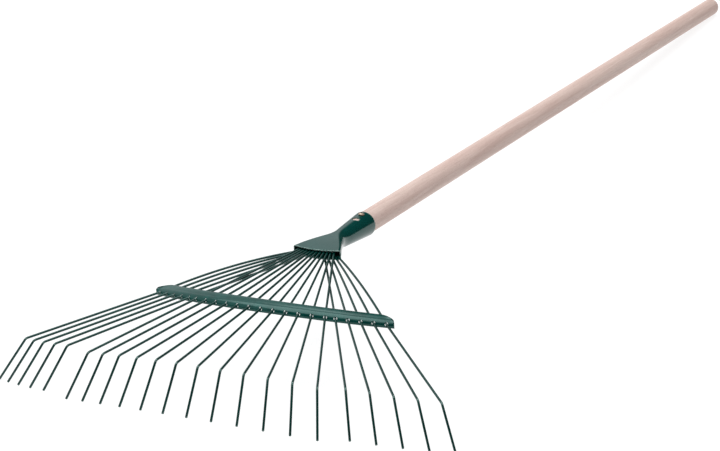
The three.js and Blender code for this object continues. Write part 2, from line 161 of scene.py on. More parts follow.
def spring_wire_tree():
    """Bends a wire through its root, jaw bend, brace hole and elbow, with a round section."""
    tree, given, result = new_tree("spring wire", [
        ("Geometry", "NodeSocketGeometry", None), ("Wire", "NodeSocketFloat", 0.0025),
        ("Root", "NodeSocketVector", None), ("Bend", "NodeSocketVector", None),
        ("Hole", "NodeSocketVector", None), ("Elbow", "NodeSocketVector", None),
        ("Tip", "NodeSocketVector", None), ("Arch", "NodeSocketFloat", 0.0),
        ("Root Radius", "NodeSocketFloat", 0.008), ("Elbow Radius", "NodeSocketFloat", 0.005),
        ("Hole Radius", "NodeSocketFloat", 0.08), ("Chamfer", "NodeSocketFloat", 0.0005),
        ("Sides", "NodeSocketInt", 20), ("Enamel", "NodeSocketMaterial", None),
    ], [("Geometry", "NodeSocketGeometry")])
    wire = given["Wire"]

    # The arched span is a parabola, so its two handles stand 4/3 of the arch above the chord.
    lift = node(tree, "ShaderNodeCombineXYZ", sockets={
        "Z": math_node(tree, "MULTIPLY", given["Arch"], 4 / 3)}).outputs[0]
    handles = []
    for share in (1 / 3, 2 / 3):
        on_chord = node(tree, "ShaderNodeMix", {"data_type": "VECTOR"}, {
            0: share, 4: given["Bend"], 5: given["Hole"]}).outputs[1]
        handles.append(vector_node(tree, "ADD", on_chord, lift).outputs[0])
    span = node(tree, "GeometryNodeCurvePrimitiveBezierSegment", {"mode": "POSITION"}, {
        "Resolution": 24, "Start": given["Bend"], "Start Handle": handles[0],
        "End Handle": handles[1], "End": given["Hole"]}).outputs[0]

    # Straight runs: in the jaw, from the brace to the elbow, and down to the chamfered cut end.
    back = vector_node(tree, "NORMALIZE", vector_node(
        tree, "SUBTRACT", given["Elbow"], given["Tip"]).outputs[0]).outputs[0]
    scaled = node(tree, "ShaderNodeVectorMath", {"operation": "SCALE"}, {
        0: back, "Scale": given["Chamfer"]}).outputs[0]
    cut = vector_node(tree, "ADD", given["Tip"], scaled).outputs[0]
    runs = [span]
    for start, end in ((given["Root"], given["Bend"]), (given["Hole"], given["Elbow"]),
                       (given["Elbow"], cut), (cut, given["Tip"])):
        runs.append(node(tree, "GeometryNodeCurvePrimitiveLine", {"mode": "POINTS"}, {
            "Start": start, "End": end}).outputs[0])
    joined = node(tree, "GeometryNodeJoinGeometry", sockets={"Geometry": runs[::-1]}).outputs[0]
    edges = node(tree, "GeometryNodeCurveToMesh", sockets={"Curve": joined}).outputs[0]
    welded = node(tree, "GeometryNodeMergeByDistance", sockets={
        "Geometry": edges, "Distance": 1e-5}).outputs[0]
    line = node(tree, "GeometryNodeMeshToCurve", sockets={"Mesh": welded}).outputs[0]

    # Each corner gets its own bend radius.
    place = node(tree, "GeometryNodeInputPosition").outputs[0]
    radius = 0.0
    for corner, size in (("Bend", "Root Radius"), ("Hole", "Hole Radius"), ("Elbow", "Elbow Radius")):
        away = vector_node(tree, "DISTANCE", place, given[corner]).outputs["Value"]
        here = math_node(tree, "LESS_THAN", away, 1e-5)
        radius = math_node(tree, "ADD", radius, math_node(tree, "MULTIPLY", here, given[size]))
    bent = node(tree, "GeometryNodeFilletCurve", {"mode": "POLY"}, {
        "Curve": line, "Count": 8, "Radius": radius, "Limit Radius": True}).outputs[0]

    # Distances along the wire, in millimetres, for the scuffs in the enamel.
    for label, corner in (("from_elbow", "Elbow"), ("from_hole", "Hole"), ("from_tip", "Tip")):
        away = vector_node(tree, "DISTANCE", place, given[corner]).outputs["Value"]
        bent = node(tree, "GeometryNodeStoreNamedAttribute", {"data_type": "FLOAT", "domain": "POINT"}, {
            "Geometry": bent, "Name": label, "Value": math_node(tree, "MULTIPLY", away, 1000)}).outputs[0]

    # The section is a circle, drawn in at the cut end.
    at_tip = math_node(tree, "LESS_THAN", vector_node(
        tree, "DISTANCE", place, given["Tip"]).outputs["Value"], 1e-5)
    section = math_node(tree, "SUBTRACT", 1, math_node(tree, "MULTIPLY", at_tip, 0.35))
    circle = node(tree, "GeometryNodeCurvePrimitiveCircle", sockets={
        "Resolution": given["Sides"], "Radius": math_node(tree, "MULTIPLY", wire, 0.5)}).outputs[0]
    swept = node(tree, "GeometryNodeCurveToMesh", sockets={
        "Curve": bent, "Profile Curve": circle, "Scale": section, "Fill Caps": True}).outputs[0]
    whole = node(tree, "GeometryNodeRealizeInstances", sockets={"Geometry": swept}).outputs[0]
    coated = node(tree, "GeometryNodeSetMaterial", sockets={
        "Geometry": whole, "Material": given["Enamel"]}).outputs[0]
    tree.links.new(coated, result["Geometry"])
    return tree


def enamel_group():
    """Dipped enamel: slow changes of depth in the colour, a slight peel and a few dull patches."""
    tree, given, result = new_tree("dipped enamel", [
        ("Colour", "NodeSocketColor", (0, 0, 0, 1)), ("Thin Colour", "NodeSocketColor", (0, 0, 0, 1)),
        ("Patch Size", "NodeSocketFloat", 0.02), ("Peel Size", "NodeSocketFloat", 0.002),
        ("Peel Height", "NodeSocketFloat", 0.00002), ("Gloss", "NodeSocketFloat", 0.2),
        ("Dullness", "NodeSocketFloat", 0.15),
    ], [("Colour", "NodeSocketColor"), ("Roughness", "NodeSocketFloat"), ("Normal", "NodeSocketVector")],
        "ShaderNodeTree")
    where = node(tree, "ShaderNodeTexCoord").outputs["Object"]
    patches = node(tree, "ShaderNodeTexNoise", sockets={
        "Vector": where, "Scale": math_node(tree, "DIVIDE", 1, given["Patch Size"]), "Detail": 5,
        "Roughness": 0.6}).outputs["Fac"]
    thin = node(tree, "ShaderNodeMapRange", sockets={
        "Value": patches, "From Min": 0.35, "From Max": 0.75}).outputs[0]
    colour = node(tree, "ShaderNodeMix", {"data_type": "RGBA"}, {
        0: thin, 6: given["Colour"], 7: given["Thin Colour"]}).outputs[2]
    smears = node(tree, "ShaderNodeTexNoise", sockets={
        "Vector": where, "Scale": math_node(tree, "DIVIDE", 3, given["Patch Size"]),
        "Detail": 3}).outputs["Fac"]
    dull = node(tree, "ShaderNodeMapRange", sockets={
        "Value": smears, "From Min": 0.45, "From Max": 0.8, "To Max": given["Dullness"]}).outputs[0]
    peel = node(tree, "ShaderNodeTexNoise", sockets={
        "Vector": where, "Scale": math_node(tree, "DIVIDE", 1, given["Peel Size"]),
        "Detail": 1}).outputs["Fac"]
    bump = node(tree, "ShaderNodeBump", sockets={
        "Strength": 1, "Distance": given["Peel Height"], "Height": peel}).outputs[0]
    tree.links.new(colour, result["Colour"])
    tree.links.new(math_node(tree, "ADD", given["Gloss"], dull), result["Roughness"])
    tree.links.new(bump, result["Normal"])
    return tree


def scuff_group():
    """Where enamel is rubbed: a ragged mask, with bare steel in its middle and chalky paint round it."""
    tree, given, result = new_tree("rubbed enamel", [
        ("Colour", "NodeSocketColor", (0, 0, 0, 1)), ("Roughness", "NodeSocketFloat", 0.2),
        ("Rub", "NodeSocketFloat", 0.0), ("Grit Size", "NodeSocketFloat", 0.001),
        ("Steel", "NodeSocketColor", (0.5, 0.5, 0.48, 1)),
        ("Chalk", "NodeSocketColor", (0.2, 0.3, 0.27, 1)),
    ], [("Colour", "NodeSocketColor"), ("Roughness", "NodeSocketFloat"), ("Metallic", "NodeSocketFloat")],
        "ShaderNodeTree")
    where = node(tree, "ShaderNodeTexCoord").outputs["Object"]
    grit = node(tree, "ShaderNodeTexNoise", sockets={
        "Vector": where, "Scale": math_node(tree, "DIVIDE", 1, given["Grit Size"]), "Detail": 4,
        "Roughness": 0.7}).outputs["Fac"]
    rub = math_node(tree, "ADD", given["Rub"], math_node(tree, "SUBTRACT", grit, 0.5))
    chalky = node(tree, "ShaderNodeMapRange", {"interpolation_type": "SMOOTHSTEP"}, {
        "Value": rub, "From Min": 0.42, "From Max": 0.62}).outputs[0]
    bare = node(tree, "ShaderNodeMapRange", {"interpolation_type": "SMOOTHSTEP"}, {
        "Value": rub, "From Min": 0.6, "From Max": 0.78}).outputs[0]
    paint = node(tree, "ShaderNodeMix", {"data_type": "RGBA"}, {
        0: chalky, 6: given["Colour"], 7: given["Chalk"]}).outputs[2]
    colour = node(tree, "ShaderNodeMix", {"data_type": "RGBA"}, {
        0: bare, 6: paint, 7: given["Steel"]}).outputs[2]
    tree.links.new(colour, result["Colour"])
    rough = node(tree, "ShaderNodeMix", {"data_type": "FLOAT"}, {
        0: chalky, 2: given["Roughness"], 3: 0.42}).outputs[0]
    tree.links.new(rough, result["Roughness"])
    tree.links.new(bare, result["Metallic"])
    return tree


dipped_enamel = enamel_group()
rubbed_enamel = scuff_group()


def enamelled(name, colour, thin_colour, patch, gloss, dullness, peel, rub_mask):
    """A material of dipped enamel with a greenish sheen, rubbed where rub_mask(tree) says."""
    made = bpy.data.materials.new(name)
    made.use_nodes = True
    tree = made.node_tree
    shader = tree.nodes["Principled BSDF"]
    film = node(tree, "ShaderNodeGroup", {"node_tree": dipped_enamel}, {
        "Colour": colour + (1,), "Thin Colour": thin_colour + (1,), "Patch Size": patch, "Gloss": gloss,
        "Dullness": dullness, "Peel Height": peel}).outputs
    worn = node(tree, "ShaderNodeGroup", {"node_tree": rubbed_enamel}, {
        "Colour": film["Colour"], "Roughness": film["Roughness"], "Rub": rub_mask(tree)}).outputs
    tree.links.new(worn["Colour"], shader.inputs["Base Color"])
    tree.links.new(worn["Roughness"], shader.inputs["Roughness"])
    tree.links.new(worn["Metallic"], shader.inputs["Metallic"])
    tree.links.new(film["Normal"], shader.inputs["Normal"])
    shader.inputs["Specular Tint"].default_value = (0.66, 1, 0.94, 1)
    return made


def near(tree, attribute, reach, strength):
    """Strongest where the piece's attribute is 0, and gone at that many millimetres."""
    away = node(tree, "ShaderNodeAttribute", {"attribute_name": attribute}).outputs["Fac"]
    return node(tree, "ShaderNodeMapRange", {"interpolation_type": "SMOOTHSTEP"}, {
        "Value": away, "From Min": 0.0, "From Max": reach, "To Min": strength, "To Max": 0.0}).outputs[0]


def tine_rubs(tree):
    """Tines are rubbed at the elbow, beside the brace and at the cut end."""
    elbow = near(tree, "from_elbow", 5.5, 0.5)
    hole = near(tree, "from_hole", 3.2, 0.5)
    tip = near(tree, "from_tip", 4, 0.5)
    return math_node(tree, "MAXIMUM", elbow, math_node(tree, "MAXIMUM", hole, tip))


tine_enamel = enamelled(
    "tine_enamel", (0.0003, 0.020, 0.016), (0.001, 0.036, 0.029), 0.03, 0.14, 0.12, 0.00002, tine_rubs)
spring_wire = spring_wire_tree()
half_fan = [(row, index) for row in (upper_row, lower_row) for index in range(row["count"])]
fan_order = [(row, index, -1) for row, index in reversed(half_fan)]
fan_order += [(row, index, 1) for row, index in half_fan]
for number, (row, index, side) in enumerate(fan_order, 1):
    line, arch = tine_line(row, index, side)
    cad_name = f"tine_{number:02d}"
    tine = grow(
        spring_wire, "wire_" + cad_name, bpy.data.meshes.new("wire"), Wire=WIRE / 1000, Arch=arch / 1000,
        Enamel=tine_enamel, **{label: fan_place @ point for label, point in line.items()})
    smooth(tine, 50)
    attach(tine, "root")
    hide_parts(cad_name)


# ---- Spacer plate
# A stamped steel plate between the two rows of roots inside the jaw. It is grooved on both faces where
# the wires lie, and enamelled with the head.
def plain_mesh(name, points, faces, place):
    """A mesh object from points drawn in millimetres and laid in place."""
    mesh = bpy.data.meshes.new(name)
    mesh.from_pydata([place @ Vector(point) for point in points], [], faces)
    mesh.validate()
    mesh.update()
    made = bpy.data.objects.new(name, mesh)
    bpy.context.scene.collection.objects.link(made)
    return made


def skin(rings, ends=True, around=False):
    """Points and faces over rings of equal length. With around, the last ring joins the first."""
    size = len(rings[0])
    points = [point for ring in rings for point in ring]
    faces = []
    for here in range(len(rings) if around else len(rings) - 1):
        there = (here + 1) % len(rings)
        for i in range(size):
            j = (i + 1) % size
            faces.append((here * size + i, here * size + j, there * size + j, there * size + i))
    if ends and not around:
        faces.append(tuple(reversed(range(size))))
        faces.append(tuple((len(rings) - 1) * size + i for i in range(size)))
    return points, faces


PLATE_FRONT = 4
PLATE_BACK = 20
PLATE_HALF_WIDTH = 16
PLATE_HALF_THICKNESS = 0.7
PLATE_LEVEL = 0.1
PLATE_CHAMFER = 0.2


def groove(x, row):
    """Depth of the grooves that this row of roots lies in."""
    depth = 0
    for index in range(row["count"]):
        root = tine_line(row, index, 1)[0]["Root"].x
        depth = max(depth, 0.22 * math.exp(-(((abs(x) - root) / 1.1) ** 2)))
    return depth


plate_rings = []
for step in range(8 * PLATE_HALF_WIDTH + 1):
    x = -PLATE_HALF_WIDTH + step / 4
    worn_edge = 0.6 + 0.4 * min(1, (PLATE_HALF_WIDTH - abs(x)) / 0.35)
    over = PLATE_LEVEL + (PLATE_HALF_THICKNESS - groove(x, upper_row)) * worn_edge
    under = PLATE_LEVEL - (PLATE_HALF_THICKNESS - groove(x, lower_row)) * worn_edge
    plate_rings.append([Vector((x, y, z)) for y, z in (
        (PLATE_FRONT, under + PLATE_CHAMFER), (PLATE_FRONT + PLATE_CHAMFER, under),
        (PLATE_BACK - PLATE_CHAMFER, under), (PLATE_BACK, under + PLATE_CHAMFER),
        (PLATE_BACK, over - PLATE_CHAMFER), (PLATE_BACK - PLATE_CHAMFER, over),
        (PLATE_FRONT + PLATE_CHAMFER, over), (PLATE_FRONT, over - PLATE_CHAMFER))])
spacer = smooth(plain_mesh("grooved_spacer", *skin(plate_rings), fan_place))


def head_rubs(tree):
    """The sheet is rubbed along its edges and round its holes."""
    return near(tree, "from_edge", 1.6, 0.56)


head_enamel = enamelled(
    "head_enamel", (0.0003, 0.036, 0.030), (0.0008, 0.050, 0.043), 0.035, 0.12, 0.12, 0.00001, head_rubs)


def edge_distance(piece, measure, place):
    """Stores each vertex's distance in millimetres from the nearest rubbed edge."""
    back = place.inverted()
    attribute = piece.data.attributes.new("from_edge", "FLOAT", "POINT")
    for i, vertex in enumerate(piece.data.vertices):
        attribute.data[i].value = measure(back @ vertex.co)


def plate_edges(point):
    """Distance to the plate's nearest edge."""
    return min(point.y - PLATE_FRONT, PLATE_BACK - point.y, PLATE_HALF_WIDTH - abs(point.x))


edge_distance(spacer, plate_edges, fan_place)
spacer.data.materials.append(head_enamel)
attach(spacer, "root")
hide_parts("tine_spacer")


# ---- Socket head
# One stamping of 1.2 mm sheet steel: a tapered tube rolled round the handle, with a butt seam under it,
# that is pressed flat and wide into a jaw over the tine roots. It has a screw hole and a spare hole near
# its rim, and is enamelled dark green.
SHEET = 1.2
HEAD_LENGTH = 116
MOUTH_HALF_WIDTH = 27
MOUTH_HALF_HEIGHT = 5.4
MOUTH_CORNER = 2.6
MOUTH_BULGE = 5
HALF_SEAM = 0.35
SCREW_HOLE = 2.05
HANDLE_RADIUS = 12.5
GAP = 0.3
RIM_RADIUS = HANDLE_RADIUS + GAP + SHEET
handle_fall = math.radians(5.9)
shaft_place = fan_place @ Matrix.Translation((0, 0, -1)) @ Matrix.Rotation(-handle_fall, 4, "X")
screw_back, screw_turn = 9.5, math.radians(6)
spare_back, spare_turn, spare_radius = 23, math.radians(4), 4.4


def blend_in(value, start, end):
    """Eases from 0 at the start to 1 at the end."""
    share = min(max((value - start) / (end - start), 0), 1)
    return share * share * (3 - 2 * share)


def tube_radius(y):
    """The tapered tube's outer radius, at a distance from the mouth."""
    return RIM_RADIUS - 0.066 * (HEAD_LENGTH - y)


def evenly(outline, count):
    """That many points at even steps round a closed outline."""
    steps = [math.dist(a, b) for a, b in zip(outline, outline[1:])]
    points, leg, walked = [], 0, 0
    for i in range(count):
        goal = sum(steps) * i / count
        while walked + steps[leg] < goal:
            walked += steps[leg]
            leg += 1
        share = (goal - walked) / max(steps[leg], 1e-9)
        (x0, z0), (x1, z1) = outline[leg], outline[leg + 1]
        points.append((x0 + (x1 - x0) * share, z0 + (z1 - z0) * share))
    return points


def mouth_front(x):
    """How far the mouth's bowed edge stands forward."""
    return MOUTH_BULGE * (1 - (x / MOUTH_HALF_WIDTH) ** 2)


def head_ring(y, inset, past=0):
    """One section of the head: a rounded slot at the jaw that turns into a circle round the handle."""
    rounding = blend_in(y, 6, 60)
    tube = tube_radius(y)
    flare = MOUTH_HALF_WIDTH - 0.41 * y - tube
    half_width = tube + (flare + math.hypot(flare, 5)) / 2 * (1 - rounding**6) - inset
    half_height = MOUTH_HALF_HEIGHT + (tube - MOUTH_HALF_HEIGHT) * rounding - inset
    corner = MOUTH_CORNER + (tube - MOUTH_CORNER) * rounding**0.7 - inset
    corner = min(corner, half_height, half_width)
    bulging = 1 - blend_in(y, 0, 11)
    turn = Matrix.Rotation(-handle_fall * rounding, 3, "X")
    outline = [(half_width, 0)]
    for quarter, (side, up) in enumerate(((1, 1), (-1, 1), (-1, -1), (1, -1))):
        for i in range(17):
            angle = math.radians(90 * quarter + 90 * i / 16)
            outline.append((side * (half_width - corner) + corner * math.cos(angle),
                            up * (half_height - corner) + corner * math.sin(angle)))
    outline.append((half_width, 0))
    ring = []
    for x, z in evenly(outline, 168):
        point = turn @ Vector((x, y + past - bulging * mouth_front(x), z))
        point.z -= rounding
        ring.append(point)
    return ring


head_stations = list(range(58)) + list(range(58, HEAD_LENGTH + 1, 2))
lip_turns = [math.radians(30 * i) for i in range(1, 6)]
lip = [(-0.5 * math.sin(turn), SHEET / 2 * (1 - math.cos(turn))) for turn in lip_turns]
head_rings = [head_ring(y, 0) for y in reversed(head_stations)]
head_rings += [head_ring(0, inset, past) for past, inset in lip]
head_rings += [head_ring(y, SHEET) for y in head_stations]
head_rings += [head_ring(HEAD_LENGTH, inset, -past) for past, inset in reversed(lip)]
head_shell = plain_mesh("head_shell", *skin(head_rings, around=True), fan_place)


def drill_bit(radius, bottom, back, turn):
    """A closed cylinder across the handle's axis that reaches past the tube's wall, to cut with."""
    lean = Matrix.Rotation(turn, 3, "Y")
    corners = [2 * math.pi * i / 48 for i in range(48)]
    rings = []
    for height in (bottom, 20):
        rings.append([
            lean @ Vector((radius * math.cos(corner), radius * math.sin(corner), height))
            + Vector((0, HEAD_LENGTH - back, 0)) for corner in corners])
    return plain_mesh("bit", *skin(rings), shaft_place)


def cut_away(name, body, *tools):
    """The body less the tools, as a new plain mesh. The tools are used up."""
    for tool in tools:
        modifier = body.modifiers.new("cut", "BOOLEAN")
        modifier.operation, modifier.solver, modifier.object = "DIFFERENCE", "EXACT", tool
    bpy.context.view_layer.update()
    ready = body.evaluated_get(bpy.context.evaluated_depsgraph_get())
    made = bpy.data.objects.new(name, bpy.data.meshes.new_from_object(ready))
    for used in (body, *tools):
        bpy.data.objects.remove(used)
    bpy.context.scene.collection.objects.link(made)
    return made


blade = ((-HALF_SEAM, -24), (-HALF_SEAM, -5), (HALF_SEAM, -5), (HALF_SEAM, -24))
seam_saw = plain_mesh(
    "seam_saw", *skin([[Vector((x, y, z)) for x, z in blade] for y in (-20, 140)]), shaft_place)
head = cut_away(
    "enamelled_head", head_shell, drill_bit(SCREW_HOLE, 0, screw_back, screw_turn),
    drill_bit(spare_radius, 0, spare_back, spare_turn), seam_saw)
smooth(head, 32)
to_shaft = shaft_place.inverted() @ fan_place


def head_edges(point):
    """Distance to the mouth's lip, the rim, the seam or the spare hole."""
    on_shaft = to_shaft @ point
    around = Matrix.Rotation(-spare_turn, 3, "Y") @ (on_shaft - Vector((0, HEAD_LENGTH - spare_back, 0)))
    distances = [point.y + mouth_front(point.x), HEAD_LENGTH - on_shaft.y]
    if around.z > 0:
        distances.append(abs(math.hypot(around.x, around.y) - spare_radius))
    if on_shaft.z < 0 and on_shaft.y > 30:
        distances.append(abs(on_shaft.x) - HALF_SEAM)
    return max(0, min(distances))


edge_distance(head, head_edges, fan_place)
head.data.materials.clear()
head.data.materials.append(head_enamel)
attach(head, "root")
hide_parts("socket_head")


# ---- Cross brace
# A strip of 1 mm steel pressed into an upturned channel with rounded ends, curved in plan and crowned,
# with a hole in both flanges for each wire. It is threaded onto the tines and enamelled with them.
CHANNEL_WIDTH = 17
CHANNEL_ABOVE = 4.2
CHANNEL_BELOW = 3.4
CHANNEL_SHEET = 1
CHANNEL_LEAN = 0.06
CHANNEL_CROWN = 0.9
FRONT_ROUND = 6.4
BACK_ROUND = 4.4
OVERHANG = 7.5
END_ROUND = 12
END_WIDTH = 3
RUB_RING = 2.2
outer_hole = tine_line(lower_row, lower_row["count"] - 1, 1)[0]["Hole"]
brace_end = math.asin(outer_hole.x / BRACE_ARC) + OVERHANG / BRACE_ARC


def channel_ring(angle, reach, inset):
    """One section across the channel, filled, and inset for the hollow under it."""
    along = min(max(1 - (reach - abs(angle)) * BRACE_ARC / END_ROUND, 0), 1)
    width = END_WIDTH + (CHANNEL_WIDTH - END_WIDTH) * math.sqrt(1 - along * along)
    front, back = inset, width - inset
    top, bottom = CHANNEL_ABOVE - inset, -CHANNEL_BELOW - 2 * inset
    broad = min(FRONT_ROUND - inset / 2, 0.55 * (back - front))
    tight = min(BACK_ROUND - inset / 2, 0.35 * (back - front))
    flat = back - front - broad - tight
    shoulder = top - CHANNEL_CROWN
    turns = [math.radians(90 * i / 10) for i in range(11)]
    outline = [(front, bottom)]
    for turn in turns:
        outline.append((
            front + broad * (1 - math.cos(turn)),
            shoulder - (broad - CHANNEL_CROWN) * (1 - math.sin(turn))))
    for i in range(1, 8):
        outline.append((
            front + broad + flat * i / 8, shoulder + CHANNEL_CROWN * math.sin(math.pi / 2 * i / 8)))
    for turn in reversed(turns):
        outline.append((back - tight * (1 - math.cos(turn)), top - tight * (1 - math.sin(turn))))
    outline.append((back, bottom))
    ring = []
    for behind, up in outline:
        radius = BRACE_ARC - behind
        ring.append(Vector((
            radius * math.sin(angle), BRACE_FRONT + BRACE_ARC - radius * math.cos(angle),
            brace_crown(BRACE_ARC * math.sin(angle)) + up + CHANNEL_LEAN * behind)))
    return ring


def channel_filling(name, inset):
    """The solid inside the channel's outline, or inside its hollow when it is inset."""
    reach = brace_end - inset / BRACE_ARC
    rounded = END_ROUND / BRACE_ARC
    straight = reach - rounded
    angles = [straight * i / 60 for i in range(-60, 61)]
    ends = [straight + rounded * math.sin(math.radians(90 * i / 12)) for i in range(1, 13)]
    angles = [-angle for angle in reversed(ends)] + angles + ends
    rings = [channel_ring(angle, reach, inset) for angle in reversed(angles)]
    return plain_mesh(name, *skin(rings), fan_place)


def pierced_tree():
    """Punches a round hole along each of the guide points' directions."""
    tree, given, result = new_tree("pierced channel", [
        ("Geometry", "NodeSocketGeometry", None), ("Guides", "NodeSocketObject", None),
        ("Hole Diameter", "NodeSocketFloat", 0.0035), ("Punch Length", "NodeSocketFloat", 0.04),
        ("Sides", "NodeSocketInt", 28), ("Enamel", "NodeSocketMaterial", None),
    ], [("Geometry", "NodeSocketGeometry")])
    guides = node(tree, "GeometryNodeObjectInfo", sockets={"Object": given["Guides"]}).outputs["Geometry"]
    heading = node(tree, "GeometryNodeInputNamedAttribute", {"data_type": "FLOAT_VECTOR"}, {
        "Name": "heading"}).outputs["Attribute"]
    turned = node(tree, "FunctionNodeAlignRotationToVector", {"axis": "Z"}, {"Vector": heading}).outputs[0]
    punch = node(tree, "GeometryNodeMeshCylinder", sockets={
        "Vertices": given["Sides"], "Radius": math_node(tree, "MULTIPLY", given["Hole Diameter"], 0.5),
        "Depth": given["Punch Length"]}).outputs["Mesh"]
    punches = node(tree, "GeometryNodeInstanceOnPoints", sockets={
        "Points": guides, "Instance": punch, "Rotation": turned}).outputs[0]
    solid = node(tree, "GeometryNodeRealizeInstances", sockets={"Geometry": punches}).outputs[0]
    pierced = node(tree, "GeometryNodeMeshBoolean", {"operation": "DIFFERENCE", "solver": "EXACT"}, {
        "Mesh 1": given["Geometry"], "Mesh 2": solid}).outputs["Mesh"]
    whole = node(tree, "GeometryNodeRealizeInstances", sockets={"Geometry": pierced}).outputs[0]
    coated = node(tree, "GeometryNodeSetMaterial", sockets={
        "Geometry": whole, "Material": given["Enamel"]}).outputs[0]
    tree.links.new(coated, result["Geometry"])
    return tree


def brace_rubs(tree):
    """The channel is rubbed along its lips and round its holes."""
    return near(tree, "from_edge", 0.6, 0.3)


brace_enamel = enamelled(
    "brace_enamel", (0.0003, 0.036, 0.030), (0.002, 0.062, 0.052), 0.012, 0.13, 0.2, 0.00003, brace_rubs)
hole_lines = []
for row, index, side in fan_order:
    line, arch = tine_line(row, index, side)
    last = line["Bend"].lerp(line["Hole"], 0.75)
    last.z += arch * 0.75
    hole_lines.append((line["Hole"], (last - line["Hole"]).normalized()))
guides = plain_mesh("hole_guides", [hole + heading * 8.5 for hole, heading in hole_lines], [], fan_place)
guide_heading = guides.data.attributes.new("heading", "FLOAT_VECTOR", "POINT")
for i, (hole, heading) in enumerate(hole_lines):
    guide_heading.data[i].vector = fan_place.to_3x3() @ heading * 1000
channel = cut_away(
    "channel", channel_filling("channel_outside", 0), channel_filling("channel_hollow", CHANNEL_SHEET))
brace = grow(pierced_tree(), "pressed_brace", channel.data, Guides=guides, Enamel=brace_enamel)
bpy.data.objects.remove(channel)
bpy.data.objects.remove(guides)
smooth(brace, 32)


def brace_edges(point):
    """Distance to the channel's lips or to the ring that is rubbed round the nearest wire hole."""
    angle = math.atan2(point.x, BRACE_FRONT + BRACE_ARC - point.y)
    behind = BRACE_ARC - math.hypot(point.x, BRACE_FRONT + BRACE_ARC - point.y)
    lip_up = point.z - (brace_crown(BRACE_ARC * math.sin(angle)) - CHANNEL_BELOW + CHANNEL_LEAN * behind)
    to_ring = min(abs((point - hole).cross(heading).length - RUB_RING) for hole, heading in hole_lines)
    return max(0, min(lip_up, to_ring))


edge_distance(brace, brace_edges, fan_place)
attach(brace, "root")
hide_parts("cross_brace")


# ---- Handle
# A turned rod of pinkish beech, 25 mm across, bare and sanded. Its far end is domed with a small flat
# left by the lathe's centre, and its near end is tapered and driven into the head.
HANDLE_END = HEAD_LENGTH + 1300
DOME = 7
DOME_FLAT = 5.5
TAPER_TIP = 63
SCREW_LENGTH = 12
SCREW_SEAT = tube_radius(HEAD_LENGTH - screw_back) + GAP
SCREW_TIP = SCREW_SEAT - SCREW_LENGTH


def inside(y):
    """The handle's radius inside the tube."""
    return tube_radius(y) - SHEET - GAP


def turned(name, profile, sides, place):
    """A body turned on a lathe from a profile of (radius, distance along the axis), closed at its poles."""
    corners = [2 * math.pi * i / sides for i in range(sides)]
    rings = [[Vector((radius * math.sin(corner), y, radius * math.cos(corner))) for corner in corners]
             for radius, y in profile if radius > 0]
    points, faces = skin(rings, ends=False)
    last = len(points) - sides
    points += [Vector((0, profile[0][1], 0)), Vector((0, profile[-1][1], 0))]
    faces += [(i, len(points) - 2, (i + 1) % sides) for i in range(sides)]
    faces += [(last + i, last + (i + 1) % sides, len(points) - 1) for i in range(sides)]
    return plain_mesh(name, points, faces, place)


rod = [(0, TAPER_TIP), (inside(TAPER_TIP) - 1, TAPER_TIP), (inside(TAPER_TIP + 0.3) - 0.3, TAPER_TIP + 0.3)]
taper_start = TAPER_TIP + 1
dome_start = HANDLE_END - DOME
for i in range(9):
    rod.append((inside(taper_start) + (HANDLE_RADIUS - inside(taper_start)) * i / 8,
                taper_start + (HEAD_LENGTH - taper_start) * i / 8))
for i in range(1, 260):
    sanding = 0.5 + 0.5 * noise.noise(Vector((0, i * 0.21, 3)))
    rod.append((
        HANDLE_RADIUS - 0.04 * sanding, HEAD_LENGTH + (dome_start - 0.5 - HEAD_LENGTH) * i / 260))
for i in range(15):
    turn = math.radians(90 * i / 14)
    rod.append((DOME_FLAT + DOME * math.cos(turn), dome_start + DOME * math.sin(turn)))
rod += [(1.2, HANDLE_END), (1.0, HANDLE_END - 0.5), (0.15, HANDLE_END - 1.6), (0, HANDLE_END - 1.6)]
handle = cut_away(
    "beech_handle", turned("rod", rod, 72, shaft_place),
    drill_bit(SCREW_HOLE, SCREW_TIP - GAP, screw_back, screw_turn))
smooth(handle, 40)

beech = bpy.data.materials.new("beech")
beech.use_nodes = True
wood = beech.node_tree
along_shaft = node(wood, "ShaderNodeMapping", sockets={
    "Vector": node(wood, "ShaderNodeTexCoord").outputs["Object"],
    "Rotation": (handle_fall - fan_tilt, 0, 0)}).outputs[0]


def wood_streaks(across, along, detail, low, high):
    """Noise drawn out along the handle, from 0 to 1. The sizes are in millimetres."""
    stretched = node(wood, "ShaderNodeMapping", sockets={
        "Vector": along_shaft, "Scale": (1000 / across, 1000 / along, 1000 / across)}).outputs[0]
    streaks = node(wood, "ShaderNodeTexNoise", sockets={
        "Vector": stretched, "Scale": 1, "Detail": detail, "Roughness": 0.55,
        "Distortion": 0.4}).outputs["Fac"]
    return node(wood, "ShaderNodeMapRange", sockets={
        "Value": streaks, "From Min": low, "From Max": high}).outputs[0]


